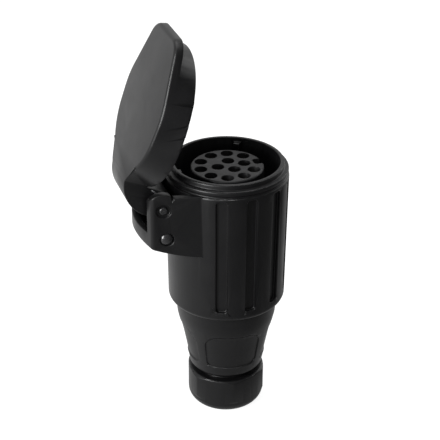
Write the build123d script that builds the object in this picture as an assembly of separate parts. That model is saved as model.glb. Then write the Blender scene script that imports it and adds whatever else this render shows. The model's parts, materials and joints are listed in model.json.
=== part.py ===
from build123d import *
import os
from math import acos, atan2, cos, degrees, hypot, pi, radians, sin, sqrt, tan

# Thirteen-pole in-line trailer socket with a hinged lid, standing on its cable gland nut.
# Millimetres, +Z up the socket's axis, origin in the middle of the nut's flat bottom.
# The hinge is on the -X side with its axis along Y, and the keyway is on the +X side.

# Fluted barrel
RIM_Z = 117.6
RIM_R = 23.7
MOUTH_R = 22.0
BEAD_R = 25.5
BEAD_TOP_Z = 115.4
BEAD_LOW_Z = 113.2
COLLAR_GROOVE_R = 24.9
SHOULDER_Z = 112.4
SHOULDER_R = 25.75
BARREL_LOW_R = 25.0
BARREL_LOW_Z = 53.8
BARREL_LIP_R = 2.5
LEDGE_Z = 90.0
LEDGE_T = 4.0
LEDGE_R = 15.6
CARRIER_BORE_R = 20.2
SOCKET_THREAD_R = 22.2
SOCKET_THREAD_TOP_Z = 67.0
FLUTE_COUNT = 9
FLUTE_STEP = 28.4
FLUTE_W = 4.6
FLUTE_DEPTH = 1.5
FLUTE_CORNER_R = 1.4
FLUTE_LOW_Z = 58.5
FLUTE_TOP_Z = 111.0
LUG_COUNT = 3
LUG_ANGLE = 8.0
LUG_R = 19.8
LUG_Z = (113.3, 115.7)
FIRST_LUG_ANGLE = 60.0

# Hinge bracket on the barrel
HINGE_X = -32.1
HINGE_Z = 106.8
BRACKET_END_R = 39.9
BRACKET_END_HALF_W = 15.2
BRACKET_END_X = -36.8
BRACKET_ROOT_HALF_W = 19.4
BRACKET_ROOT_X = -15.2
BRACKET_INNER_X = -12.0
BRACKET_TOP_Z = 112.4
BRACKET_CORNER_R = 2.0
BRACKET_UNDER_BEND = (-27.5, 86.4)
BRACKET_UNDER_Z = 84.0
EAR_T = 3.1
EAR_LOBE_R = 7.4
EAR_LOBE_FRONT_X = 3.0
EAR_NOTCH_X = (3.4, 4.2)
EAR_NOTCH_H = 1.4
SLOT_FLOOR_Z = 90.6
END_WALL_TOP_Z = 96.2
END_WALL_LOW_Z = 91.2
END_WALL_T = 3.0
PIN_R = 1.7
PIN_HALF_LENGTH = 15.9
PIN_END_R = 0.6
PIN_RECESS_R = 3.0
PIN_RECESS_Y = 15.3
STOP_X = -30.9
STOP_Z = 93.8
STOP_R = 1.5
STOP_HEAD_R = 2.7
STOP_HEAD_H = 1.5
STOP_SEAT_Y = 15.5

# Lid, measured from the hinge axis with the lid shut: out towards the tip, and up
LID_OPEN_ANGLE = 69.5
LID_FACE_H = 17.9
LID_SKIRT_H = 7.1
LID_TAB_UNDER_H = 14.4
LID_EDGE_R = 1.5
LID_CEILING_H = 15.4
LID_BACK_R = (27.2, 23.0)
LID_FRONT_R = (26.5, 23.6)
LID_FRONT_SHIFT = 5.2
LID_TIP_R = (9.9, 7.5)
LID_TIP_X = 60.2
LID_TIP_HALF_W = 8.3
LID_MOUTH_R = 25.9
LID_MOUTH_TOP_H = 8.7
LID_SEAT_R = 24.3
TAIL_HALF_W = 9.6
TAIL_CURL_R = 15.3
TAIL_FLARE_X = 7.0
TAIL_ROOT_X = (15.5, 26.0)
TAIL_ROOT_HALF_W = 15.6
TAIL_ROOT_T = 3.0
KNUCKLE_R = 5.6
PIN_PLAY = 0.06
GASKET_H = (11.4, 13.5)
GASKET_R = (20.4, 23.8)

# Hinge springs beside the tail
SPRING_WIRE_R = 0.3
SPRING_R = 3.1
SPRING_PITCH = 0.61
SPRING_TURNS = 2.125
SPRING_GAP = 0.3
SPRING_LOW_LEG = 14.5
SPRING_HIGH_LEG = 8.3

# Contact carrier
CARRIER_R = 15.25
CARRIER_FACE_Z = 115.0
CARRIER_FOOT_R = 15.9
CARRIER_COLLAR_R = 15.5
CARRIER_FOOT_T = 4.0
OUTER_RING_R = 11.5
OUTER_POLES = 9
POLE_STEP = 36.0
INNER_POLES = ((7.4, 0.0), (1.7, 4.1), (1.7, -4.1), (-4.1, 0.0))
HOLE_R = 2.65
KEYWAY_W = 4.6
KEYWAY_R = 11.4
KEYWAY_CORNER_R = 1.2
PLATE_R = 19.9
PLATE_T = 4.0
CARRIER_SCREW_RING_R = 17.8
CARRIER_SCREW_R = 1.3
CARRIER_SCREW_BITE = 2.6
SCREW_HEAD_R = 2.3
SCREW_HEAD_T = 1.8
SCREW_SLOT_W = 0.7
SCREW_SLOT_DEPTH = 0.8

# Contact sleeves
SLEEVE_R = 2.3
SLEEVE_BORE_R = 1.5
SLEEVE_TOP_Z = 112.6
SLEEVE_BORE_DEPTH = 15.0
SLEEVE_COLLAR_R = 3.1
SLEEVE_COLLAR_T = 1.2
SLEEVE_SLIT_W = 0.5
SLEEVE_SLIT_DEPTH = 8.0
OUTER_TAIL_Z = 72.0
INNER_TAIL_Z = 62.0
WIRE_HOLE_R = 1.3
WIRE_HOLE_DEPTH = 8.0
CLAMP_SCREW_R = 0.95

# Rear shell, with the outline of its cone as (height, radius)
REAR_TOP_Z = 66.0
REAR_CONE = ((53.0, 22.0), (46.0, 21.3), (36.4, 19.1), (28.5, 17.6), (20.3, 16.0))
REAR_WALL = 2.2
NECK_R = 12.7
NECK_BORE_R = 10.7
NECK_LOW_Z = 6.5
SEAL_SHOULDER_Z = 19.5
SEAL_SHOULDER_R = 9.0
WINDOW_COUNT = 4
FIRST_WINDOW_ANGLE = -99.0
WINDOW_TOP_Z = 42.8
WINDOW_LOW_Z = 25.0
WINDOW_HALF_W = (10.4, 12.2)
WINDOW_CORNER_R = (3.0, 5.5)
WINDOW_DEPTH = 0.35

# Gland
CABLE_R = 6.6
NUT_TOP_Z = 17.5
NUT_EDGE_R = 17.3
NUT_FLAT_ARC_R = 25.0
NUT_FOOT_R = 11.2
NUT_CORNER_R = 5.5
NUT_BEVEL = 1.4
NUT_FLOOR_T = 3.7
NUT_THREAD_R = 13.05
FIRST_NUT_EDGE = -36.0
RING_Z = (4.0, 5.6)
SEAL_LOW_Z = 5.9


def spoke(angle, r):
    """Point at radius r on the bearing angle, seen from above."""
    return r * cos(radians(angle)), r * sin(radians(angle))


def turned(points):
    """Solid turned about the Z axis from a closed outline of (radius, height) points."""
    outline = Plane.XZ * make_face(Polyline(*points, close=True))
    return revolve(outline, Axis.Z)


def rod(r, low, high, x=0.0, y=0.0):
    """Upright cylinder between two heights."""
    return Pos(x, y, low) * Cylinder(r, high - low, align=(Align.CENTER, Align.CENTER, Align.MIN))


def cross_rod(r, half_length, x, z):
    """Cylinder along Y through the point (x, z)."""
    return Pos(x, 0, z) * Rot(90, 0, 0) * Cylinder(r, 2 * half_length)


def ring(inner, outer, low, high):
    """Flat ring about the Z axis."""
    return rod(outer, low, high) - rod(inner, low - 1, high + 1)


def radial_plane(angle, r, z, lean=0.0):
    """Plane facing outwards at bearing angle, tipped down by lean degrees, with its Y up the part."""
    x, y = spoke(angle, r)
    out_x, out_y = spoke(angle, cos(radians(lean)))
    side_x, side_y = spoke(angle + 90, 1.0)
    return Plane(origin=(x, y, z), x_dir=(side_x, side_y, 0), z_dir=(out_x, out_y, -sin(radians(lean))))


def belt(circles):
    """Face inside a belt pulled round circles (x, y, r), listed counter-clockwise."""
    count = len(circles)
    starts, ends = [None] * count, [None] * count
    for i, (x, y, r) in enumerate(circles):
        nx, ny, nr = circles[(i + 1) % count]
        side = atan2(ny - y, nx - x) - acos((r - nr) / hypot(nx - x, ny - y))
        ends[i] = side
        starts[(i + 1) % count] = side
    edges = []
    for i, (x, y, r) in enumerate(circles):
        sweep_angle = (ends[i] - starts[i]) % (2 * pi)
        middle = starts[i] + sweep_angle / 2
        spots = [(x + r * cos(a), y + r * sin(a)) for a in (starts[i], middle, ends[i])]
        edges.append(ThreePointArc(*spots))
        nx, ny, nr = circles[(i + 1) % count]
        edges.append(Line(spots[2], (nx + nr * cos(ends[i]), ny + nr * sin(ends[i]))))
    return make_face(edges)


def barrel_outside():
    """Turned outside of the barrel with its lip, shoulder, groove and bead."""
    body = turned([
        (0, BARREL_LOW_Z),
        (BARREL_LOW_R, BARREL_LOW_Z),
        (SHOULDER_R, SHOULDER_Z - 0.5),
        (SHOULDER_R - 0.5, SHOULDER_Z),
        (COLLAR_GROOVE_R, SHOULDER_Z),
        (COLLAR_GROOVE_R, BEAD_LOW_Z),
        (BEAD_R, BEAD_LOW_Z + 0.4),
        (BEAD_R, BEAD_TOP_Z - 0.4),
        (BEAD_R - 0.5, BEAD_TOP_Z),
        (RIM_R, BEAD_TOP_Z),
        (RIM_R, RIM_Z - 0.4),
        (RIM_R - 0.4, RIM_Z),
        (0, RIM_Z),
    ])
    return fillet(body.edges().filter_by(GeomType.CIRCLE).sort_by(Axis.Z)[0], BARREL_LIP_R)


def barrel_inside():
    """Turned hollow of the barrel: plug mouth, ledge, carrier bore and rear thread."""
    top = RIM_Z + 1
    low = BARREL_LOW_Z - 1
    return turned([
        (0, low),
        (SOCKET_THREAD_R, low),
        (SOCKET_THREAD_R, SOCKET_THREAD_TOP_Z),
        (CARRIER_BORE_R, SOCKET_THREAD_TOP_Z),
        (CARRIER_BORE_R, LEDGE_Z),
        (LEDGE_R, LEDGE_Z),
        (LEDGE_R, LEDGE_Z + LEDGE_T),
        (MOUTH_R, LEDGE_Z + LEDGE_T),
        (MOUTH_R, top),
        (0, top),
    ])


def flute(angle):
    """Cutter for one upright flute with rounded corners, its floor following the barrel's draft."""
    height = FLUTE_TOP_Z - FLUTE_LOW_Z
    middle_z = (FLUTE_TOP_Z + FLUTE_LOW_Z) / 2
    draft = degrees(atan2(SHOULDER_R - BARREL_LOW_R, SHOULDER_Z - BARREL_LOW_Z))
    middle_r = BARREL_LOW_R + (middle_z - BARREL_LOW_Z) * tan(radians(draft))
    floor = radial_plane(angle, middle_r - FLUTE_DEPTH, middle_z, draft)
    return extrude(floor * RectangleRounded(FLUTE_W, height, FLUTE_CORNER_R), 2 * FLUTE_DEPTH)


def bayonet_lug(angle):
    """Lug inside the mouth that the plug's collar locks under."""
    low, high = LUG_Z
    block = ring(LUG_R, MOUTH_R + 0.4, low, high)
    reach = 2 * MOUTH_R
    corners = [(0, 0), spoke(-LUG_ANGLE / 2, reach), spoke(LUG_ANGLE / 2, reach)]
    wedge = extrude(make_face(Polyline(*corners, close=True)), high + 1)
    return Rot(0, 0, angle) * (block & wedge)


def bracket_wedge(inner_x, inset):
    """Flared plan of the bracket from inner_x out past its end, with its sides taken in by inset."""
    flare = (BRACKET_ROOT_HALF_W - BRACKET_END_HALF_W) / (BRACKET_ROOT_X - BRACKET_END_X)
    outer_x = -BRACKET_END_R - 5
    inner_y = BRACKET_END_HALF_W + (inner_x - BRACKET_END_X) * flare - inset
    outer_y = BRACKET_END_HALF_W + (outer_x - BRACKET_END_X) * flare - inset
    corners = [(inner_x, inner_y), (outer_x, outer_y), (outer_x, -outer_y), (inner_x, -inner_y)]
    return make_face(Polyline(*corners, close=True))


def bracket_outside():
    """Solid form of the hinge bracket: flared sides, curved end wall and a lobe round the pin."""
    lobe_z = sqrt(EAR_LOBE_R**2 - EAR_LOBE_FRONT_X**2)
    back_x = -BRACKET_END_R - 1
    notch_low = (HINGE_X + EAR_NOTCH_X[0], BRACKET_TOP_Z - EAR_NOTCH_H)
    notch_top = (HINGE_X + EAR_NOTCH_X[1], BRACKET_TOP_Z)
    lobe_start = (HINGE_X + EAR_LOBE_FRONT_X, HINGE_Z + lobe_z)
    lobe_end = (HINGE_X - EAR_LOBE_R, HINGE_Z)
    lobe_mid = (HINGE_X - EAR_LOBE_R * sin(radians(35)), HINGE_Z + EAR_LOBE_R * cos(radians(35)))
    low_end = (back_x, END_WALL_LOW_Z)
    root_low = (BRACKET_INNER_X, BRACKET_UNDER_Z)
    root_top = (BRACKET_INNER_X, BRACKET_TOP_Z)
    profile = make_face([
        Line(root_top, notch_top),
        Line(notch_top, notch_low),
        Line(notch_low, lobe_start),
        ThreePointArc(lobe_start, lobe_mid, lobe_end),
        Line(lobe_end, (back_x, HINGE_Z)),
        Line((back_x, HINGE_Z), low_end),
        ThreePointArc(low_end, BRACKET_UNDER_BEND, root_low),
        Line(root_low, root_top),
    ])
    side = extrude(Plane.XZ * profile, BRACKET_END_R, both=True)
    plan = bracket_wedge(BRACKET_INNER_X, 0) & Circle(BRACKET_END_R)
    ends = plan.vertices().filter_by(lambda v: v.X < BRACKET_END_X + 2)
    plan = fillet(ends, BRACKET_CORNER_R)
    return side & extrude(plan, 2 * RIM_Z)


def bracket_slot():
    """Space between the ears for the lid's tail, with the low end wall left standing."""
    wedge = bracket_wedge(BRACKET_INNER_X, EAR_T)
    above = Pos(0, 0, END_WALL_TOP_Z) * extrude(wedge, BRACKET_END_R)
    inner = wedge & Circle(BRACKET_END_R - END_WALL_T)
    pocket = Pos(0, 0, SLOT_FLOOR_Z) * extrude(inner, BRACKET_END_R)
    return above + pocket - rod(SHOULDER_R, 0, SHOULDER_Z)


def front_housing():
    """One moulding: fluted barrel, collar, bayonet lugs and hinge bracket."""
    body = barrel_outside()
    cutters = [flute((i - FLUTE_COUNT // 2) * FLUTE_STEP) for i in range(FLUTE_COUNT)]
    body -= cutters
    body += bracket_outside() - bracket_slot()
    body -= barrel_inside()
    for i in range(LUG_COUNT):
        body += bayonet_lug(FIRST_LUG_ANGLE + i * 360 / LUG_COUNT)
    for sign in (1, -1):
        recess = Pos(0, sign * (PIN_RECESS_Y + 5), 0) * cross_rod(PIN_RECESS_R, 5, HINGE_X, HINGE_Z)
        seat = Pos(0, sign * (STOP_SEAT_Y + 5), 0) * cross_rod(STOP_HEAD_R + 0.1, 5, STOP_X, STOP_Z)
        body -= [recess, seat]
    body -= cross_rod(PIN_R + 0.02, 30, HINGE_X, HINGE_Z)
    body -= cross_rod(STOP_R + 0.02, 30, STOP_X, STOP_Z)
    for x, y in carrier_screw_spots():
        body -= rod(CARRIER_SCREW_R + 0.05, LEDGE_Z - 1, LEDGE_Z + CARRIER_SCREW_BITE + 0.6, x, y)
    return body


def carrier_screw_spots():
    """Places of the three screws that hold the back plate and the carrier's foot to the ledge."""
    return [spoke(FIRST_LUG_ANGLE + i * 120, CARRIER_SCREW_RING_R) for i in range(3)]


def pole_spots():
    """Places of the thirteen poles: nine on the outer ring, then four inside."""
    outer = [spoke((k + 1) * POLE_STEP, OUTER_RING_R) for k in range(OUTER_POLES)]
    return outer + list(INNER_POLES)


def contact_carrier():
    """Insulating insert with thirteen stepped holes, a keyway and a foot that stops at the ledge."""
    foot_z = LEDGE_Z - CARRIER_FOOT_T
    body = turned([
        (0, foot_z),
        (CARRIER_FOOT_R, foot_z),
        (CARRIER_FOOT_R, LEDGE_Z),
        (CARRIER_COLLAR_R, LEDGE_Z),
        (CARRIER_COLLAR_R, LEDGE_Z + LEDGE_T),
        (CARRIER_R, LEDGE_Z + LEDGE_T),
        (CARRIER_R, CARRIER_FACE_Z - 0.5),
        (CARRIER_R - 0.5, CARRIER_FACE_Z),
        (0, CARRIER_FACE_Z),
    ])
    step_z = SLEEVE_TOP_Z - SLEEVE_BORE_DEPTH
    cutters = []
    for x, y in pole_spots():
        cutters.append(rod(HOLE_R, step_z, CARRIER_FACE_Z + 1, x, y))
        cutters.append(rod(SLEEVE_R + 0.05, foot_z - 1, step_z, x, y))
        cutters.append(rod(SLEEVE_COLLAR_R + 0.05, foot_z - 1, foot_z + SLEEVE_COLLAR_T + 0.05, x, y))
    notch = Pos(KEYWAY_R + 5, 0) * RectangleRounded(10, KEYWAY_W, KEYWAY_CORNER_R)
    cutters.append(Pos(0, 0, LEDGE_Z + LEDGE_T) * extrude(notch, 40))
    return body - cutters


def carrier_plate():
    """Back plate with a cup for the carrier's foot, which keeps the contact sleeves in the carrier."""
    foot_z = LEDGE_Z - CARRIER_FOOT_T
    low = foot_z - PLATE_T
    cutters = [rod(CARRIER_FOOT_R + 0.1, foot_z, LEDGE_Z + 1)]
    cutters += [rod(SLEEVE_R + 0.1, low - 1, foot_z + 1, x, y) for x, y in pole_spots()]
    cutters += [rod(CARRIER_SCREW_R + 0.15, low - 1, LEDGE_Z + 1, x, y) for x, y in carrier_screw_spots()]
    return rod(PLATE_R, low, LEDGE_Z) - cutters


def carrier_screws():
    """Three slotted screws through the plate into the ledge."""
    seat_z = LEDGE_Z - CARRIER_FOOT_T - PLATE_T
    head_z = seat_z - SCREW_HEAD_T
    screws = []
    for x, y in carrier_screw_spots():
        body = rod(CARRIER_SCREW_R, seat_z, LEDGE_Z + CARRIER_SCREW_BITE, x, y)
        body += rod(SCREW_HEAD_R, head_z, seat_z, x, y)
        body -= Pos(x, y, head_z) * Box(3 * SCREW_HEAD_R, SCREW_SLOT_W, 2 * SCREW_SLOT_DEPTH)
        screws.append(body)
    return Compound(children=screws)


def sleeve(x, y, tail_z):
    """Slit contact sleeve with its collar and the clamp for one wire."""
    collar_low = LEDGE_Z - CARRIER_FOOT_T
    body = rod(SLEEVE_R, tail_z, SLEEVE_TOP_Z, x, y)
    body += rod(SLEEVE_COLLAR_R, collar_low, collar_low + SLEEVE_COLLAR_T, x, y)
    body -= rod(SLEEVE_BORE_R, SLEEVE_TOP_Z - SLEEVE_BORE_DEPTH + 0.5, SLEEVE_TOP_Z + 1, x, y)
    body -= rod(WIRE_HOLE_R, tail_z - 1, tail_z + WIRE_HOLE_DEPTH, x, y)
    bearing = degrees(atan2(y, x))
    slit = Box(3 * SLEEVE_R, SLEEVE_SLIT_W, 2 * SLEEVE_SLIT_DEPTH)
    body -= Pos(x, y, SLEEVE_TOP_Z) * Rot(0, 0, bearing) * slit
    body -= clamp_screw(x, y, tail_z, CLAMP_SCREW_R + 0.03, 4.0)
    return body


def clamp_screw(x, y, tail_z, r=CLAMP_SCREW_R, length=2.0):
    """Set screw that runs outwards from a wire hole."""
    lie = radial_plane(degrees(atan2(y, x)), hypot(x, y) + 1.2, tail_z + WIRE_HOLE_DEPTH / 2)
    return extrude(lie * Circle(r), length)


def tail_height(index):
    """The four inner sleeves are longer, so that their screws clear the outer ones."""
    return OUTER_TAIL_Z if index < OUTER_POLES else INNER_TAIL_Z


def terminal_screws():
    """One set screw for each contact sleeve."""
    spots = enumerate(pole_spots())
    return Compound(children=[clamp_screw(x, y, tail_height(i)) for i, (x, y) in spots])


def housing_seal():
    """O-ring between the rear shell's end and the step in the barrel."""
    section = (SOCKET_THREAD_TOP_Z - REAR_TOP_Z) / 2 - 0.02
    return Pos(0, 0, REAR_TOP_Z + section + 0.02) * Torus((SOCKET_THREAD_R + CARRIER_BORE_R) / 2, section)


def rear_window(angle):
    """Cutter for one recessed panel on the cone, arched more at its top than at its foot."""
    low_w, top_w = WINDOW_HALF_W
    outline = make_face(Polyline(
        (-low_w, WINDOW_LOW_Z), (low_w, WINDOW_LOW_Z), (top_w, WINDOW_TOP_Z), (-top_w, WINDOW_TOP_Z), close=True))
    low_r, top_r = WINDOW_CORNER_R
    outline = fillet(outline.vertices().group_by(Axis.Y)[0], low_r)
    outline = fillet(outline.vertices().group_by(Axis.Y)[-1], top_r)
    return extrude(radial_plane(angle, 0, 0) * outline, 40)


def cone_solid(inset, extra=0.0):
    """Solid of the rear cone, taken in from its surface by inset and longer by extra at both ends."""
    low_z, low_r = REAR_CONE[-1]
    sides = [(r - inset, z) for z, r in REAR_CONE[:-1]]
    top_z = REAR_TOP_Z + extra
    foot_z = low_z - extra
    return turned([(0, top_z), (sides[0][0], top_z)] + sides + [(low_r - inset, foot_z), (0, foot_z)])


def rear_shell():
    """Tapered shell with four recessed panels, and the threaded neck for the gland nut."""
    cone_low = REAR_CONE[-1][0]
    body = cone_solid(0)
    skin = body - cone_solid(WINDOW_DEPTH, 1.0)
    for i in range(WINDOW_COUNT):
        body -= skin & rear_window(FIRST_WINDOW_ANGLE + i * 360 / WINDOW_COUNT)
    floor_z = cone_low + 2.0
    body -= cone_solid(REAR_WALL, 1.0) - rod(50, 0, floor_z)
    body += rod(NECK_R, NECK_LOW_Z, cone_low)
    body -= rod(NECK_BORE_R, NECK_LOW_Z - 1, SEAL_SHOULDER_Z)
    body -= rod(SEAL_SHOULDER_R, NECK_LOW_Z, floor_z + 1)
    return body


def gland_nut():
    """Domed gland nut with six bowed flats, a deep thread bore and the cable opening."""
    corners = [spoke(FIRST_NUT_EDGE + 60 * i, NUT_EDGE_R) for i in range(6)]
    arcs = [RadiusArc(corners[i], corners[(i + 1) % 6], -NUT_FLAT_ARC_R) for i in range(6)]
    body = extrude(make_face(arcs), NUT_TOP_Z)
    foot = (NUT_FOOT_R, 0)
    bend = (NUT_FOOT_R + NUT_CORNER_R * sin(radians(45)), NUT_CORNER_R * (1 - cos(radians(45))))
    side = (NUT_FOOT_R + NUT_CORNER_R, NUT_CORNER_R)
    clear_r = NUT_EDGE_R + 0.2
    low_clear = (clear_r, NUT_CORNER_R + 2)
    high_clear = (clear_r, NUT_TOP_Z - NUT_BEVEL)
    bevel_top = (clear_r - NUT_BEVEL, NUT_TOP_Z)
    dome = make_face([
        Line((0, 0), foot),
        ThreePointArc(foot, bend, side),
        Line(side, low_clear),
        Line(low_clear, high_clear),
        Line(high_clear, bevel_top),
        Line(bevel_top, (0, NUT_TOP_Z)),
        Line((0, NUT_TOP_Z), (0, 0)),
    ])
    body &= revolve(Plane.XZ * dome, Axis.Z)
    body -= rod(NUT_THREAD_R, NUT_FLOOR_T, NUT_TOP_Z + 1)
    return body - rod(CABLE_R, -1, NUT_FLOOR_T + 1)


def gland_ring():
    """Slip ring that keeps the turning nut from twisting the seal."""
    return ring(CABLE_R, NECK_R, *RING_Z)


def gland_seal():
    """Rubber bush that the gland squeezes round the cable."""
    return ring(CABLE_R, NECK_BORE_R - 0.1, SEAL_LOW_Z, SEAL_SHOULDER_Z - 0.1)


def lid_outline(level):
    """Plan of the lid at its skirt or its face: round over the socket, easing into the thumb tab."""
    front_x = -HINGE_X + LID_FRONT_SHIFT
    return belt([
        (-HINGE_X, 0, LID_BACK_R[level]),
        (front_x, 0, LID_FRONT_R[level]),
        (LID_TIP_X, -LID_TIP_HALF_W, LID_TIP_R[level]),
        (LID_TIP_X, LID_TIP_HALF_W, LID_TIP_R[level]),
        (front_x, 0, LID_FRONT_R[level]),
    ])


def lid_tail():
    """Tail that flares from the lid's back, curls down between the ears and ends in the knuckle."""
    reach = TAIL_CURL_R - KNUCKLE_R
    curl_h = LID_FACE_H - TAIL_CURL_R
    curl_x = sqrt(reach**2 - curl_h**2)
    bend = (curl_x - TAIL_CURL_R * sin(radians(45)), curl_h + TAIL_CURL_R * cos(radians(45)))
    touch = (-KNUCKLE_R * curl_x / reach, -KNUCKLE_R * curl_h / reach)
    flare_x, root_x = TAIL_ROOT_X
    back_foot = (KNUCKLE_R + 0.3, LID_SKIRT_H)
    profile = make_face([
        Line((root_x, LID_FACE_H), (curl_x, LID_FACE_H)),
        ThreePointArc((curl_x, LID_FACE_H), bend, touch),
        ThreePointArc(touch, (0, -KNUCKLE_R), (KNUCKLE_R, 0)),
        Line((KNUCKLE_R, 0), back_foot),
        Line(back_foot, (root_x, LID_FACE_H - TAIL_ROOT_T)),
        Line((root_x, LID_FACE_H - TAIL_ROOT_T), (root_x, LID_FACE_H)),
    ])
    side = [(-2 * KNUCKLE_R, TAIL_HALF_W), (TAIL_FLARE_X, TAIL_HALF_W)]
    side += [(flare_x, TAIL_ROOT_HALF_W), (root_x, TAIL_ROOT_HALF_W)]
    plan = make_face(Polyline(*side, *[(x, -y) for x, y in reversed(side)], close=True))
    block = Pos(0, 0, -2 * KNUCKLE_R) * extrude(plan, 2 * LID_FACE_H)
    return block & extrude(Plane.XZ * profile, 2 * TAIL_ROOT_HALF_W, both=True)


def lid_hollow():
    """Turned hollow under the lid: skirt, seat of the gasket and crown."""
    inner, outer = GASKET_R
    low, high = GASKET_H
    return Pos(-HINGE_X, 0, 0) * turned([
        (0, LID_SKIRT_H - 1),
        (LID_MOUTH_R, LID_SKIRT_H - 1),
        (LID_MOUTH_R, LID_MOUTH_TOP_H),
        (LID_SEAT_R, low - 0.1),
        (outer + 0.05, high),
        (inner, high),
        (inner, LID_CEILING_H),
        (0, LID_CEILING_H),
    ])


def opened(shape):
    """Turn a shape from the shut lid's frame to where the lid stands open."""
    return Pos(HINGE_X, 0, HINGE_Z) * Rot(0, -LID_OPEN_ANGLE, 0) * shape


def lid():
    """Lid in one moulding: flat face, tapered skirt, thumb tab and hinge tail."""
    low = Pos(0, 0, LID_SKIRT_H) * lid_outline(0)
    high = Pos(0, 0, LID_FACE_H) * lid_outline(1)
    body = loft([low, high])
    body = fillet(body.faces().sort_by(Axis.Z)[-1].edges(), LID_EDGE_R)
    skirt_plan = Pos(-HINGE_X, 0) * Circle(LID_BACK_R[0])
    skirt_plan += Pos(-HINGE_X + LID_FRONT_SHIFT, 0) * Circle(LID_FRONT_R[0])
    under_tab = Pos(LID_TIP_X, 0) * Rectangle(40, 80) - skirt_plan
    body -= Pos(0, 0, LID_SKIRT_H - 1) * extrude(under_tab, LID_TAB_UNDER_H - LID_SKIRT_H + 1)
    body += lid_tail()
    body -= lid_hollow()
    body -= cross_rod(PIN_R + PIN_PLAY, 30, 0, 0)
    return opened(body)


def lid_gasket():
    """Flat rubber ring in the lid that closes on the rim."""
    inner, outer = GASKET_R
    low, high = GASKET_H
    return opened(Pos(-HINGE_X, 0, 0) * ring(inner, outer, low, high))


def hinge_pin():
    """Steel pin through both ears, with rounded ends in the ears' recesses."""
    body = cross_rod(PIN_R, PIN_HALF_LENGTH, HINGE_X, HINGE_Z)
    return fillet(body.edges().filter_by(GeomType.CIRCLE), PIN_END_R)


def stop_pin():
    """Riveted cross pin below the hinge, with a domed head at each ear."""
    body = cross_rod(STOP_R, STOP_SEAT_Y, STOP_X, STOP_Z)
    dome_r = (STOP_HEAD_R**2 + STOP_HEAD_H**2) / (2 * STOP_HEAD_H)
    for sign in (1, -1):
        ball = Pos(STOP_X, sign * (STOP_SEAT_Y + STOP_HEAD_H - dome_r), STOP_Z) * Sphere(dome_r)
        keep = Pos(STOP_X, sign * (STOP_SEAT_Y + 5), STOP_Z) * Box(20, 10, 20)
        body += ball & keep
    return body


def hinge_spring():
    """Torsion spring beside the tail: coils round the pin, a leg to the cross pin and one up the tail."""
    coil = Helix(SPRING_PITCH, SPRING_PITCH * SPRING_TURNS, SPRING_R)
    low_end = Plane(origin=coil @ 0, z_dir=-(coil % 0)) * Circle(SPRING_WIRE_R)
    high_end = Plane(origin=coil @ 1, z_dir=coil % 1) * Circle(SPRING_WIRE_R)
    body = sweep(low_end, coil)
    body += extrude(low_end, SPRING_LOW_LEG)
    body += extrude(high_end, SPRING_HIGH_LEG)
    start_y = -(TAIL_HALF_W + SPRING_GAP + SPRING_WIRE_R)
    return Pos(HINGE_X, start_y, HINGE_Z) * Rot(90, 0, 0) * body


def write(name, shape):
    """Write one node."""
    export_step(shape, "parts/" + name + ".step")


os.makedirs("parts", exist_ok=True)
write("front_housing", front_housing())
write("rear_shell", rear_shell())
write("housing_seal", housing_seal())
write("contact_carrier", contact_carrier())
write("carrier_plate", carrier_plate())
write("carrier_screws", carrier_screws())
for number, (pole_x, pole_y) in enumerate(pole_spots()):
    write(f"contact_{number + 1:02d}", sleeve(pole_x, pole_y, tail_height(number)))
write("terminal_screws", terminal_screws())
write("lid", lid())
write("lid_gasket", lid_gasket())
write("hinge_pin", hinge_pin())
write("stop_pin", stop_pin())
write("hinge_spring_front", hinge_spring())
write("hinge_spring_rear", mirror(hinge_spring(), Plane.XZ))
write("gland_seal", gland_seal())
write("gland_ring", gland_ring())
write("gland_nut", gland_nut())
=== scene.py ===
import json
from math import cos, pi, radians, sin

import bmesh
import bpy
import numpy as np
from bpy.props import FloatProperty, FloatVectorProperty, IntProperty, PointerProperty
from mathutils import Matrix, Vector

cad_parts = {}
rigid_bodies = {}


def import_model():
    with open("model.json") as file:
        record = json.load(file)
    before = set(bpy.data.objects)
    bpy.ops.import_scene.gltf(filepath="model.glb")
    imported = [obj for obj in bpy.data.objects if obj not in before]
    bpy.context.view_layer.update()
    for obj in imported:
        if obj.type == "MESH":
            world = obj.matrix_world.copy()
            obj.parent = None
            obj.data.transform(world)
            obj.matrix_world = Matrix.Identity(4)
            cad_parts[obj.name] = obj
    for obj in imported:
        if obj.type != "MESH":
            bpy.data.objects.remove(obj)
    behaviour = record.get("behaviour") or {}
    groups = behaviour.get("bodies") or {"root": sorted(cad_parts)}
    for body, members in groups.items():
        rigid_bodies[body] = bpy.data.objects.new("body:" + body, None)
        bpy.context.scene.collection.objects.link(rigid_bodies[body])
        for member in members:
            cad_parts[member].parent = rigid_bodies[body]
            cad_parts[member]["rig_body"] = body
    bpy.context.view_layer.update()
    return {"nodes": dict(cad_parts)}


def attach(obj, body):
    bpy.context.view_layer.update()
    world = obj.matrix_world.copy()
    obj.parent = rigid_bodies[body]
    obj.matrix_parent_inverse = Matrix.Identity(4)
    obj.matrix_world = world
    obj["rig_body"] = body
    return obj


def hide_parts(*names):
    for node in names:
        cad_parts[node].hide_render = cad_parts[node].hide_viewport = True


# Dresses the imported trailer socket: softened mouldings, neck thread, finishes and studio.
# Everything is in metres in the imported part's own frame, with Z up the socket's axis.

bl_info = {
    "name": "Trailer Socket Dressing",
    "version": (1, 0, 0),
    "blender": (4, 5, 0),
    "location": "View3D > Sidebar > Trailer Socket",
    "description": "Softened mouldings, neck thread, finishes and studio for a packed trailer socket",
    "category": "Object",
}

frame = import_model()

MM = 0.001
MERGE_DISTANCE = 0.002 * MM
FLAT_ANGLE = radians(0.3)
ROUNDING_SEGMENTS = 3


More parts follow.
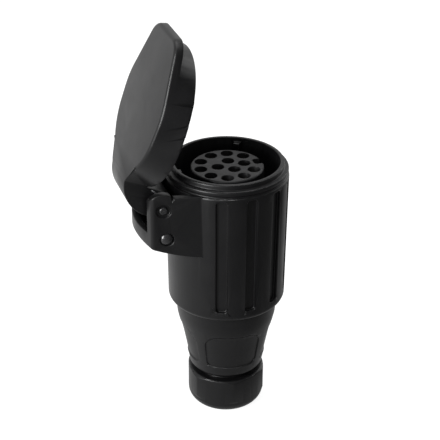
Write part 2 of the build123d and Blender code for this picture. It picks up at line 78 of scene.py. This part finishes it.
class SocketSizes(bpy.types.PropertyGroup):
    """Sizes that someone fitting the finish to another socket would change."""

    moulding_edge: FloatProperty(
        name="Moulding edge", description="Rounding of the mouldings' edges",
        default=0.35 * MM, unit="LENGTH")
    fine_edge: FloatProperty(
        name="Fine edge", description="Rounding of the insert's and the small parts' edges",
        default=0.18 * MM, unit="LENGTH")
    sharpest_kept: FloatProperty(
        name="Kept angle", description="Edges that bend less than this stay as they are",
        default=radians(26), subtype="ANGLE", unit="ROTATION")
    slimmest_corner: FloatProperty(
        name="Slim corner", description="Lid edges that meet another edge at less than this stay sharp",
        default=radians(28), subtype="ANGLE", unit="ROTATION")
    most_corners: IntProperty(
        name="Most corners",
        description="Flat faces with more corners, such as rings, are cut into triangles",
        default=114)
    neck_r: FloatProperty(
        name="Neck radius", description="Core radius of the threaded neck",
        default=12.7 * MM, unit="LENGTH")
    thread_depth: FloatProperty(
        name="Thread depth", description="Height of the neck's thread over its core",
        default=0.3 * MM, unit="LENGTH")
    thread_pitch: FloatProperty(
        name="Thread pitch", description="Rise of the neck's thread in one turn",
        default=1.5 * MM, unit="LENGTH")
    thread_low: FloatProperty(
        name="Thread foot", description="Height where the neck's thread starts",
        default=7.2 * MM, unit="LENGTH")
    thread_turns: FloatProperty(
        name="Thread turns", description="Turns of the neck's thread",
        default=7.6)


class SocketFinishes(bpy.types.PropertyGroup):
    """Colours of the socket's finishes."""

    shell: FloatVectorProperty(
        name="Shell", description="Black plastic of the housing, lid and nut",
        default=(0.0042, 0.0042, 0.0046), subtype="COLOR", size=3, min=0, max=1)
    insert: FloatVectorProperty(
        name="Insert", description="Plastic of the contact carrier",
        default=(0.0075, 0.0075, 0.0082), subtype="COLOR", size=3, min=0, max=1)
    rubber: FloatVectorProperty(
        name="Rubber", description="Rubber of the gasket, bush and ring",
        default=(0.0080, 0.0080, 0.0080), subtype="COLOR", size=3, min=0, max=1)
    slip: FloatVectorProperty(
        name="Slip ring", description="Natural nylon of the slip ring",
        default=(0.55, 0.53, 0.47), subtype="COLOR", size=3, min=0, max=1)
    # Brass colour kept far darker than bright brass: painted shade of the deep contact holes.
    brass: FloatVectorProperty(
        name="Brass", description="Brass of the contact sleeves",
        default=(0.27, 0.21, 0.12), subtype="COLOR", size=3, min=0, max=1)
    steel: FloatVectorProperty(
        name="Steel", description="Zinc-plated steel of screws and springs",
        default=(0.52, 0.53, 0.55), subtype="COLOR", size=3, min=0, max=1)
    pin: FloatVectorProperty(
        name="Pin", description="Blackened steel of the hinge and cross pins",
        default=(0.016, 0.016, 0.017), subtype="COLOR", size=3, min=0, max=1)
    floor: FloatProperty(
        name="Floor", description="How pale the floor is", default=0.8, min=0, max=1)


# Shader node groups, each built once

GRAIN_SCALE = 3200.0
GRAIN_DETAIL = 3.0
GRAIN_ROUGHNESS = 0.6
SINK_DETAIL = 1.0
SINK_SHARE = 1.6
PATCH_SCALE = 90.0
PATCH_DETAIL = 4.0
PATCH_DISTORTION = 0.4
LINE_STRETCH = (300.0, 300.0, 9000.0)
LINE_DETAIL = 2.0
TARNISH_SCALE = 700.0
TARNISH_DETAIL = 5.0


def group_base(name, inputs, outputs):
    """Empty shader node group with float or vector inputs (name, kind, default) and float outputs."""
    group = bpy.data.node_groups.new(name, "ShaderNodeTree")
    for label, kind, default in inputs:
        socket = group.interface.new_socket(label, in_out="INPUT", socket_type=kind)
        if default is not None:
            socket.default_value = default
    for label in outputs:
        group.interface.new_socket(label, in_out="OUTPUT", socket_type="NodeSocketFloat")
    return group, group.nodes.new("NodeGroupInput"), group.nodes.new("NodeGroupOutput")


def moulded_skin():
    """Spark-eroded mould grain on slow sink marks as Height, and cloudy patches of gloss as Patch."""
    if "moulded_skin" in bpy.data.node_groups:
        return bpy.data.node_groups["moulded_skin"]
    group, given, out = group_base("moulded_skin", [
        ("Vector", "NodeSocketVector", None),
        ("Grain Scale", "NodeSocketFloat", GRAIN_SCALE),
        ("Patch Scale", "NodeSocketFloat", PATCH_SCALE),
    ], ["Height", "Patch"])
    grain = group.nodes.new("ShaderNodeTexNoise")
    grain.inputs["Detail"].default_value = GRAIN_DETAIL
    grain.inputs["Roughness"].default_value = GRAIN_ROUGHNESS
    sink = group.nodes.new("ShaderNodeTexNoise")
    sink.inputs["Detail"].default_value = SINK_DETAIL
    patch = group.nodes.new("ShaderNodeTexNoise")
    patch.inputs["Detail"].default_value = PATCH_DETAIL
    patch.inputs["Distortion"].default_value = PATCH_DISTORTION
    mix = group.nodes.new("ShaderNodeMath")
    mix.operation = "MULTIPLY_ADD"
    mix.inputs[1].default_value = SINK_SHARE
    for node, scale in ((grain, "Grain Scale"), (patch, "Patch Scale"), (sink, "Patch Scale")):
        group.links.new(given.outputs["Vector"], node.inputs["Vector"])
        group.links.new(given.outputs[scale], node.inputs["Scale"])
    group.links.new(sink.outputs["Fac"], mix.inputs[0])
    group.links.new(grain.outputs["Fac"], mix.inputs[2])
    group.links.new(mix.outputs["Value"], out.inputs["Height"])
    group.links.new(patch.outputs["Fac"], out.inputs["Patch"])
    return group


def drawn_lines():
    """Fine tool lines that run round a turned part, as Height, with tarnish patches as Patch."""
    if "drawn_lines" in bpy.data.node_groups:
        return bpy.data.node_groups["drawn_lines"]
    group, given, out = group_base("drawn_lines", [
        ("Vector", "NodeSocketVector", None),
        ("Line Stretch", "NodeSocketVector", LINE_STRETCH),
        ("Patch Scale", "NodeSocketFloat", TARNISH_SCALE),
    ], ["Height", "Patch"])
    stretch = group.nodes.new("ShaderNodeVectorMath")
    stretch.operation = "MULTIPLY"
    lines = group.nodes.new("ShaderNodeTexNoise")
    lines.inputs["Scale"].default_value = 1.0
    lines.inputs["Detail"].default_value = LINE_DETAIL
    patch = group.nodes.new("ShaderNodeTexNoise")
    patch.inputs["Detail"].default_value = TARNISH_DETAIL
    group.links.new(given.outputs["Vector"], stretch.inputs[0])
    group.links.new(given.outputs["Line Stretch"], stretch.inputs[1])
    group.links.new(stretch.outputs["Vector"], lines.inputs["Vector"])
    group.links.new(given.outputs["Vector"], patch.inputs["Vector"])
    group.links.new(given.outputs["Patch Scale"], patch.inputs["Scale"])
    group.links.new(lines.outputs["Fac"], out.inputs["Height"])
    group.links.new(patch.outputs["Fac"], out.inputs["Patch"])
    return group


# Finishes

PATCH_RANGE = (0.3, 0.7)


def finish(name, group, values, two_shades, roughness, bump, constants):
    """Material whose colour and roughness follow the group's Patch and whose bump follows its Height."""
    if name in bpy.data.materials:
        return bpy.data.materials[name]
    material = bpy.data.materials.new(name)
    material.use_nodes = True
    tree = material.node_tree
    shader = tree.nodes["Principled BSDF"]
    for label, value in constants.items():
        shader.inputs[label].default_value = value
    place = tree.nodes.new("ShaderNodeTexCoord")
    skin = tree.nodes.new("ShaderNodeGroup")
    skin.node_tree = group
    for label, value in values.items():
        skin.inputs[label].default_value = value
    tint = tree.nodes.new("ShaderNodeMix")
    tint.data_type = "RGBA"
    tint.inputs["A"].default_value = (*two_shades[0], 1)
    tint.inputs["B"].default_value = (*two_shades[1], 1)
    gloss = tree.nodes.new("ShaderNodeMapRange")
    gloss.inputs["From Min"].default_value = PATCH_RANGE[0]
    gloss.inputs["From Max"].default_value = PATCH_RANGE[1]
    gloss.inputs["To Min"].default_value = roughness[0]
    gloss.inputs["To Max"].default_value = roughness[1]
    relief = tree.nodes.new("ShaderNodeBump")
    relief.inputs["Distance"].default_value = bump
    tree.links.new(place.outputs["Object"], skin.inputs["Vector"])
    tree.links.new(skin.outputs["Patch"], tint.inputs["Factor"])
    tree.links.new(skin.outputs["Patch"], gloss.inputs["Value"])
    tree.links.new(skin.outputs["Height"], relief.inputs["Height"])
    tree.links.new(tint.outputs["Result"], shader.inputs["Base Color"])
    tree.links.new(gloss.outputs["Result"], shader.inputs["Roughness"])
    tree.links.new(relief.outputs["Normal"], shader.inputs["Normal"])
    return material


def shades(colour, spread):
    """A darker and a lighter shade of a colour, apart by a share of it."""
    return tuple(c * (1 - spread) for c in colour), tuple(c * (1 + spread) for c in colour)


def colours():
    """Colours that the panel offers."""
    return bpy.context.scene.socket_finishes


def shell_plastic():
    """Fine-grained black plastic with a soft shine."""
    return finish(
        "shell_plastic", moulded_skin(),
        {"Grain Scale": GRAIN_SCALE, "Patch Scale": PATCH_SCALE},
        shades(colours().shell, 0.25), (0.32, 0.40), 0.012 * MM,
        {"Specular IOR Level": 0.33})


def insert_plastic():
    """Black plastic of the contact carrier, finer and duller than the shell's."""
    return finish(
        "insert_plastic", moulded_skin(), {"Grain Scale": 4200.0, "Patch Scale": 160.0},
        shades(colours().insert, 0.2), (0.42, 0.52), 0.010 * MM,
        {"Specular IOR Level": 0.36})


def seal_rubber():
    """Dull black rubber."""
    return finish(
        "seal_rubber", moulded_skin(), {"Grain Scale": 5200.0, "Patch Scale": 240.0},
        shades(colours().rubber, 0.35), (0.66, 0.8), 0.012 * MM,
        {"Specular IOR Level": 0.4})


def slip_nylon():
    """Undyed nylon."""
    return finish(
        "slip_nylon", moulded_skin(), {"Grain Scale": 3600.0, "Patch Scale": 200.0},
        shades(colours().slip, 0.05), (0.42, 0.5), 0.008 * MM, {})


def sleeve_brass_painted_shade():
    """Turned brass with tool lines round it and light tarnish, its colour darkened as painted shade of
    the deep contact holes.
    """
    return finish(
        "sleeve_brass_painted_shade", drawn_lines(), {"Line Stretch": LINE_STRETCH},
        shades(colours().brass, 0.16), (0.22, 0.36), 0.004 * MM,
        {"Metallic": 1.0})


def plated_steel():
    """Zinc-plated steel."""
    return finish(
        "plated_steel", drawn_lines(), {"Line Stretch": (2400.0, 2400.0, 2400.0)},
        shades(colours().steel, 0.12), (0.26, 0.4), 0.004 * MM,
        {"Metallic": 1.0})


def pin_black():
    """Blackened drawn steel, with its lines along the pins."""
    return finish(
        "pin_black", drawn_lines(), {"Line Stretch": (5200.0, 700.0, 5200.0)},
        shades(colours().pin, 0.3), (0.22, 0.34), 0.006 * MM,
        {"Specular IOR Level": 0.6})


# Shapes

def surface_piece(name, points, faces):
    """Object at the origin from an array of points and an array of faces, shaded smooth."""
    mesh = bpy.data.meshes.new(name)
    mesh.from_pydata(points, [], faces)
    mesh.update()
    mesh.polygons.foreach_set("use_smooth", np.ones(len(mesh.polygons), bool))
    piece = bpy.data.objects.new(name, mesh)
    bpy.context.scene.collection.objects.link(piece)
    return piece


def grid_faces(rows, columns, wrap_rows, wrap_columns):
    """Quads of a grid with points in row order, closed round in either direction where asked."""
    r = np.arange(rows if wrap_rows else rows - 1)
    c = np.arange(columns if wrap_columns else columns - 1)
    r, c = np.meshgrid(r, c, indexing="ij")
    nr, nc = (r + 1) % rows, (c + 1) % columns
    quads = np.stack([r * columns + c, r * columns + nc, nr * columns + nc, nr * columns + c], axis=-1)
    return quads.reshape(-1, 4)


def weigh_edges(work, sharpest, slimmest):
    """Bevel weight 1 on edges that bend more than sharpest, and 0 on the rest.

    An edge with a corner of slimmest or less at either end also gets 0, because rounding it there
    makes a spike.
    """
    weight = work.edges.layers.float.new("bevel_weight_edge")
    for edge in work.edges:
        bends = len(edge.link_faces) == 2 and edge.calc_face_angle() > sharpest
        edge[weight] = 1.0 if bends and smallest_corner(edge) > slimmest else 0.0


def smallest_corner(edge):
    """Smallest angle between an edge and the next edges of its two faces."""
    corners = []
    for face in edge.link_faces:
        for end in edge.verts:
            along = edge.other_vert(end).co - end.co
            for other in end.link_edges:
                if other is not edge and face in other.link_faces:
                    corners.append(along.angle(other.other_vert(end).co - end.co, 0))
    return min(corners)


def softened(node, name, edge, material, slimmest=0.0):
    """Merged copy of a CAD node with its edges rounded, which replaces the node and rides as it does.

    The edges are weighed before wide faces are cut, so that the cuts are never rounded.
    """
    sizes = bpy.context.scene.socket_sizes
    source = frame["nodes"][node]
    work = bmesh.new()
    work.from_mesh(source.data)
    bmesh.ops.remove_doubles(work, verts=work.verts, dist=MERGE_DISTANCE)
    bmesh.ops.dissolve_limit(work, angle_limit=FLAT_ANGLE, verts=work.verts, edges=work.edges)
    weigh_edges(work, sizes.sharpest_kept, slimmest)
    wide = [face for face in work.faces if len(face.verts) > sizes.most_corners]
    bmesh.ops.triangulate(work, faces=wide)
    mesh = bpy.data.meshes.new(name)
    work.to_mesh(mesh)
    work.free()
    mesh.polygons.foreach_set("use_smooth", np.ones(len(mesh.polygons), bool))
    mesh.materials.clear()
    mesh.materials.append(material)
    piece = bpy.data.objects.new(name, mesh)
    bpy.context.scene.collection.objects.link(piece)
    rounding = piece.modifiers.new("rounded edges", "BEVEL")
    rounding.width = edge
    rounding.segments = ROUNDING_SEGMENTS
    rounding.limit_method = "WEIGHT"
    rounding.use_clamp_overlap = False
    rounding.harden_normals = True
    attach(piece, source["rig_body"])
    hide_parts(node)
    return piece


def dress(nodes, material):
    """Give CAD nodes that keep their own shape a better finish."""
    for node in nodes:
        for place in frame["nodes"][node].material_slots:
            place.material = material


# Operators, one for each piece or group of like pieces

class SOCKET_OT_front_housing(bpy.types.Operator):
    """Round the edges of the fluted barrel with its collar, lugs and hinge bracket"""

    bl_idname = "trailer_socket.front_housing"
    bl_label = "Front housing"

    def execute(self, context):
        sizes = context.scene.socket_sizes
        softened("front_housing", "front_moulding", sizes.moulding_edge, shell_plastic())
        return {"FINISHED"}


class SOCKET_OT_rear_shell(bpy.types.Operator):
    """Round the edges of the tapered rear shell and cut the thread on its neck"""

    bl_idname = "trailer_socket.rear_shell"
    bl_label = "Rear shell"

    def execute(self, context):
        sizes = context.scene.socket_sizes
        softened("rear_shell", "rear_moulding", sizes.moulding_edge, shell_plastic())
        thread = neck_thread(sizes)
        thread.data.materials.append(shell_plastic())
        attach(thread, "socket")
        return {"FINISHED"}


THREAD_STEPS_PER_TURN = 72
THREAD_RISE = np.array([0.0, 1.0, 1.0, 0.0])
THREAD_SPREAD = np.array([-0.36, -0.14, 0.14, 0.36])
THREAD_SUNK = np.array([-0.05 * MM, 0.0, 0.0, -0.05 * MM])
THREAD_FADE = pi / 2


def neck_thread(sizes):
    """Ridge round the neck: a low trapezium carried along a helix.

    Across the ridge, from foot to foot, r = neck + depth * THREAD_RISE + THREAD_SUNK, which buries the
    feet, and z moves by pitch * THREAD_SPREAD. Along it, the angle a runs through all turns and z rises
    by pitch * a / 2 pi. At both ends the depth fades to nothing over THREAD_FADE of a.
    """
    count = int(sizes.thread_turns * THREAD_STEPS_PER_TURN) + 1
    a = np.linspace(0, sizes.thread_turns * 2 * pi, count)[:, None]
    fade = np.clip(np.minimum(a, a[-1] - a) / THREAD_FADE, 0, 1)
    rise = THREAD_RISE * fade * sizes.thread_depth
    r = sizes.neck_r + rise + THREAD_SUNK
    z = sizes.thread_low + sizes.thread_pitch * a / (2 * pi) + THREAD_SPREAD * sizes.thread_pitch
    points = np.stack([r * np.cos(a), r * np.sin(a), z], axis=-1).reshape(-1, 3)
    faces = grid_faces(count, 4, False, True)[:, ::-1].tolist()
    ends = [[0, 1, 2, 3], [4 * count - 1, 4 * count - 2, 4 * count - 3, 4 * count - 4]]
    return surface_piece("neck_thread", points.tolist(), faces + ends)


class SOCKET_OT_gland(bpy.types.Operator):
    """Round the edges of the gland nut, and finish the bush and the slip ring inside it"""

    bl_idname = "trailer_socket.gland"
    bl_label = "Gland"

    def execute(self, context):
        sizes = context.scene.socket_sizes
        softened("gland_nut", "nut_moulding", sizes.moulding_edge, shell_plastic())
        dress(["gland_seal", "housing_seal"], seal_rubber())
        dress(["gland_ring"], slip_nylon())
        return {"FINISHED"}


class SOCKET_OT_lid(bpy.types.Operator):
    """Round the edges of the lid and finish its gasket"""

    bl_idname = "trailer_socket.lid"
    bl_label = "Lid"

    def execute(self, context):
        sizes = context.scene.socket_sizes
        softened(
            "lid", "lid_moulding", sizes.moulding_edge, shell_plastic(), sizes.slimmest_corner)
        dress(["lid_gasket"], seal_rubber())
        return {"FINISHED"}


class SOCKET_OT_carrier(bpy.types.Operator):
    """Round the edges of the contact carrier and finish its back plate"""

    bl_idname = "trailer_socket.carrier"
    bl_label = "Contact carrier"

    def execute(self, context):
        sizes = context.scene.socket_sizes
        softened("contact_carrier", "carrier_moulding", sizes.fine_edge, insert_plastic())
        dress(["carrier_plate"], insert_plastic())
        return {"FINISHED"}


class SOCKET_OT_contacts(bpy.types.Operator):
    """Finish the brass contact sleeves and their set screws"""

    bl_idname = "trailer_socket.contacts"
    bl_label = "Contacts"

    def execute(self, context):
        sleeves = [n for n in frame["nodes"] if n.startswith("contact_") and n[-2:].isdigit()]
        dress(sleeves, sleeve_brass_painted_shade())
        dress(["terminal_screws", "carrier_screws"], plated_steel())
        return {"FINISHED"}


class SOCKET_OT_hinge(bpy.types.Operator):
    """Finish the hinge pin, the cross pin and the two springs"""

    bl_idname = "trailer_socket.hinge"
    bl_label = "Hinge"

    def execute(self, context):
        dress(["hinge_pin", "stop_pin"], pin_black())
        dress(["hinge_spring_front", "hinge_spring_rear"], plated_steel())
        return {"FINISHED"}


# Studio

IMAGE_PX = 440
CAMERA_FOCAL_PX = 1300.0
CAMERA_ELEVATION = radians(28.66)
CAMERA_AZIMUTH = radians(-19.0)
CAMERA_ROLL = radians(0.45)
CAMERA_DISTANCE = 549.0 * MM
CAMERA_TARGET = Vector((0, 0, 89.3 * MM))
AXIS_OFFSET_PX = 6.8
SENSOR_WIDTH = 36.0
CLIP_START = 0.01
CLIP_END = 20
WINDOW_BEARING = radians(125)
ROOM_GLOW = (0.10, 0.95)
ROOM_MIDDLE = (0, 0, 80 * MM)
FLOOR_GLOW = 0.90
FLOOR_SHADOW_SHADE = (0.3, 0.3, 0.3)
FLOOR_HALF = 3.0
ROOM_LIGHT = 0.25
# Name, place, width, height and watts
LAMPS = (
    ("left_softbox", (-0.80, -0.42, 0.42), 0.25, 0.6, 12.0),
    ("right_softbox", (0.75, 0.35, 0.35), 0.5, 0.8, 1.8),
    ("top_softbox", (0.0, 0.15, 0.95), 0.7, 0.7, 3.4),
)


def photo_camera():
    """Camera of the photograph: direction, distance and focal length fitted to the socket's ellipses."""
    data = bpy.data.cameras.new("photo_camera")
    data.sensor_width = SENSOR_WIDTH
    data.lens = SENSOR_WIDTH * CAMERA_FOCAL_PX / IMAGE_PX
    data.shift_x = -AXIS_OFFSET_PX / IMAGE_PX
    data.clip_start = CLIP_START
    data.clip_end = CLIP_END
    camera = bpy.data.objects.new("photo_camera", data)
    back = Vector((
        sin(CAMERA_AZIMUTH) * cos(CAMERA_ELEVATION),
        -cos(CAMERA_AZIMUTH) * cos(CAMERA_ELEVATION),
        sin(CAMERA_ELEVATION)))
    turn = back.to_track_quat("Z", "Y").to_matrix().to_4x4() @ Matrix.Rotation(CAMERA_ROLL, 4, "Z")
    camera.matrix_world = Matrix.Translation(CAMERA_TARGET + back * CAMERA_DISTANCE) @ turn
    bpy.context.scene.collection.objects.link(camera)
    bpy.context.scene.camera = camera


def softbox(name, place, width, height, watts):
    """Rectangular lamp at a place, facing the middle of the socket."""
    data = bpy.data.lights.new(name, "AREA")
    data.shape = "RECTANGLE"
    data.size = width
    data.size_y = height
    data.energy = watts
    lamp = bpy.data.objects.new(name, data)
    lamp.location = place
    lamp.rotation_euler = (Vector(place) - Vector(ROOM_MIDDLE)).to_track_quat("Z", "Y").to_euler()
    bpy.context.scene.collection.objects.link(lamp)


def add_node(tree, kind, **settings):
    """New node with its properties set by name, and its inputs set by the names in inputs."""
    node = tree.nodes.new(kind)
    for label, value in settings.pop("inputs", {}).items():
        node.inputs[label].default_value = value
    for label, value in settings.items():
        setattr(node, label, value)
    return node


def seen_directly(tree):
    """1 for camera, glossy and transmission rays and 0 for the rest, and 1 for camera rays alone."""
    path = add_node(tree, "ShaderNodeLightPath")
    first = add_node(tree, "ShaderNodeMath", operation="MAXIMUM")
    both = add_node(tree, "ShaderNodeMath", operation="MAXIMUM")
    tree.links.new(path.outputs["Is Camera Ray"], first.inputs[0])
    tree.links.new(path.outputs["Is Glossy Ray"], first.inputs[1])
    tree.links.new(first.outputs["Value"], both.inputs[0])
    tree.links.new(path.outputs["Is Transmission Ray"], both.inputs[1])
    return both.outputs["Value"], path.outputs["Is Camera Ray"]


def room_glow(tree, direction):
    """Brightness of the room in a direction from the socket: brightest on the window's bearing."""
    unit = add_node(tree, "ShaderNodeVectorMath", operation="NORMALIZE")
    side = add_node(tree, "ShaderNodeVectorMath", operation="DOT_PRODUCT")
    side.inputs[1].default_value = (cos(WINDOW_BEARING), sin(WINDOW_BEARING), 0)
    glow = add_node(tree, "ShaderNodeMapRange", inputs={
        "From Min": -1.0, "From Max": 1.0, "To Min": ROOM_GLOW[0], "To Max": ROOM_GLOW[1]})
    tree.links.new(direction, unit.inputs[0])
    tree.links.new(unit.outputs["Vector"], side.inputs[0])
    tree.links.new(side.outputs["Value"], glow.inputs["Value"])
    return glow.outputs["Result"]


def white_room():
    """World that lights softly, is white to the camera and shows brightest towards the window in
    reflections.
    """
    world = bpy.data.worlds.new("white_room")
    world.use_nodes = True
    tree = world.node_tree
    light = tree.nodes["Background"]
    light.inputs["Color"].default_value = (1, 1, 1, 1)
    light.inputs["Strength"].default_value = ROOM_LIGHT
    white = add_node(tree, "ShaderNodeBackground", inputs={"Color": (1, 1, 1, 1)})
    place = add_node(tree, "ShaderNodeTexCoord")
    level = add_node(tree, "ShaderNodeMath", operation="MAXIMUM")
    mix = add_node(tree, "ShaderNodeMixShader")
    seen, camera_ray = seen_directly(tree)
    tree.links.new(room_glow(tree, place.outputs["Generated"]), level.inputs[0])
    tree.links.new(camera_ray, level.inputs[1])
    tree.links.new(level.outputs["Value"], white.inputs["Strength"])
    tree.links.new(seen, mix.inputs["Fac"])
    tree.links.new(light.outputs["Background"], mix.inputs[1])
    tree.links.new(white.outputs["Background"], mix.inputs[2])
    tree.links.new(mix.outputs["Shader"], tree.nodes["World Output"].inputs["Surface"])
    bpy.context.scene.world = world


def pale_floor(shade):
    """Wide flat floor: white with the socket's shadow to the camera, and to reflections a painted light
    that glows as the room does.
    """
    far = FLOOR_HALF
    corners = [(-far, -far, 0), (far, -far, 0), (far, far, 0), (-far, far, 0)]
    floor = surface_piece("floor", corners, [[0, 1, 2, 3]])
    material = bpy.data.materials.new("floor_paper")
    material.use_nodes = True
    tree = material.node_tree
    tree.nodes.remove(tree.nodes["Principled BSDF"])
    plain = add_node(tree, "ShaderNodeBsdfDiffuse", inputs={"Color": (shade, shade, shade, 1)})
    shadowed = add_node(tree, "ShaderNodeBsdfDiffuse", inputs={"Color": (*FLOOR_SHADOW_SHADE, 1)})
    paper_glow = add_node(tree, "ShaderNodeEmission", inputs={"Strength": FLOOR_GLOW})
    # Painted light: to glossy and transmission rays the floor glows brightest towards the window's
    # bearing, as if lit from there.
    painted_floor_light = add_node(tree, "ShaderNodeEmission")
    place = add_node(tree, "ShaderNodeTexCoord")
    from_middle = add_node(tree, "ShaderNodeVectorMath", operation="SUBTRACT")
    from_middle.inputs[1].default_value = ROOM_MIDDLE
    paper = add_node(tree, "ShaderNodeAddShader")
    seen_as = add_node(tree, "ShaderNodeMixShader")
    mix = add_node(tree, "ShaderNodeMixShader")
    seen, camera_ray = seen_directly(tree)
    tree.links.new(place.outputs["Object"], from_middle.inputs[0])
    tree.links.new(room_glow(tree, from_middle.outputs["Vector"]), painted_floor_light.inputs["Strength"])
    tree.links.new(shadowed.outputs["BSDF"], paper.inputs[0])
    tree.links.new(paper_glow.outputs["Emission"], paper.inputs[1])
    tree.links.new(camera_ray, seen_as.inputs["Fac"])
    tree.links.new(painted_floor_light.outputs["Emission"], seen_as.inputs[1])
    tree.links.new(paper.outputs["Shader"], seen_as.inputs[2])
    tree.links.new(seen, mix.inputs["Fac"])
    tree.links.new(plain.outputs["BSDF"], mix.inputs[1])
    tree.links.new(seen_as.outputs["Shader"], mix.inputs[2])
    tree.links.new(mix.outputs["Shader"], tree.nodes["Material Output"].inputs["Surface"])
    floor.data.materials.append(material)


class SOCKET_OT_studio(bpy.types.Operator):
    """Set up the white floor, the soft lamps and the photograph's camera"""

    bl_idname = "trailer_socket.studio"
    bl_label = "Studio"

    def execute(self, context):
        scene = context.scene
        scene.view_settings.view_transform = "Standard"
        photo_camera()
        white_room()
        pale_floor(scene.socket_finishes.floor)
        for lamp in LAMPS:
            softbox(*lamp)
        return {"FINISHED"}


class SOCKET_PT_panel(bpy.types.Panel):
    """Lists the socket's pieces and their sizes and colours"""

    bl_idname = "SOCKET_PT_panel"
    bl_label = "Trailer Socket"
    bl_space_type = "VIEW_3D"
    bl_region_type = "UI"
    bl_category = "Trailer Socket"

    def draw(self, context):
        layout = self.layout
        for operator in OPERATORS:
            layout.operator(operator.bl_idname)
        for group in (context.scene.socket_sizes, context.scene.socket_finishes):
            column = layout.column(align=True)
            for name in group.__annotations__:
                column.prop(group, name)


OPERATORS = (
    SOCKET_OT_studio,
    SOCKET_OT_front_housing,
    SOCKET_OT_rear_shell,
    SOCKET_OT_gland,
    SOCKET_OT_lid,
    SOCKET_OT_carrier,
    SOCKET_OT_contacts,
    SOCKET_OT_hinge,
)
CLASSES = (SocketSizes, SocketFinishes) + OPERATORS + (SOCKET_PT_panel,)


def register():
    for item in CLASSES:
        bpy.utils.register_class(item)
    bpy.types.Scene.socket_sizes = PointerProperty(type=SocketSizes)
    bpy.types.Scene.socket_finishes = PointerProperty(type=SocketFinishes)


def unregister():
    del bpy.types.Scene.socket_finishes
    del bpy.types.Scene.socket_sizes
    for item in reversed(CLASSES):
        bpy.utils.unregister_class(item)


def main():
    """Run every operator in order."""
    register()
    for operator in OPERATORS:
        family, name = operator.bl_idname.split(".")
        getattr(getattr(bpy.ops, family), name)()


if __name__ == "__main__":
    main()
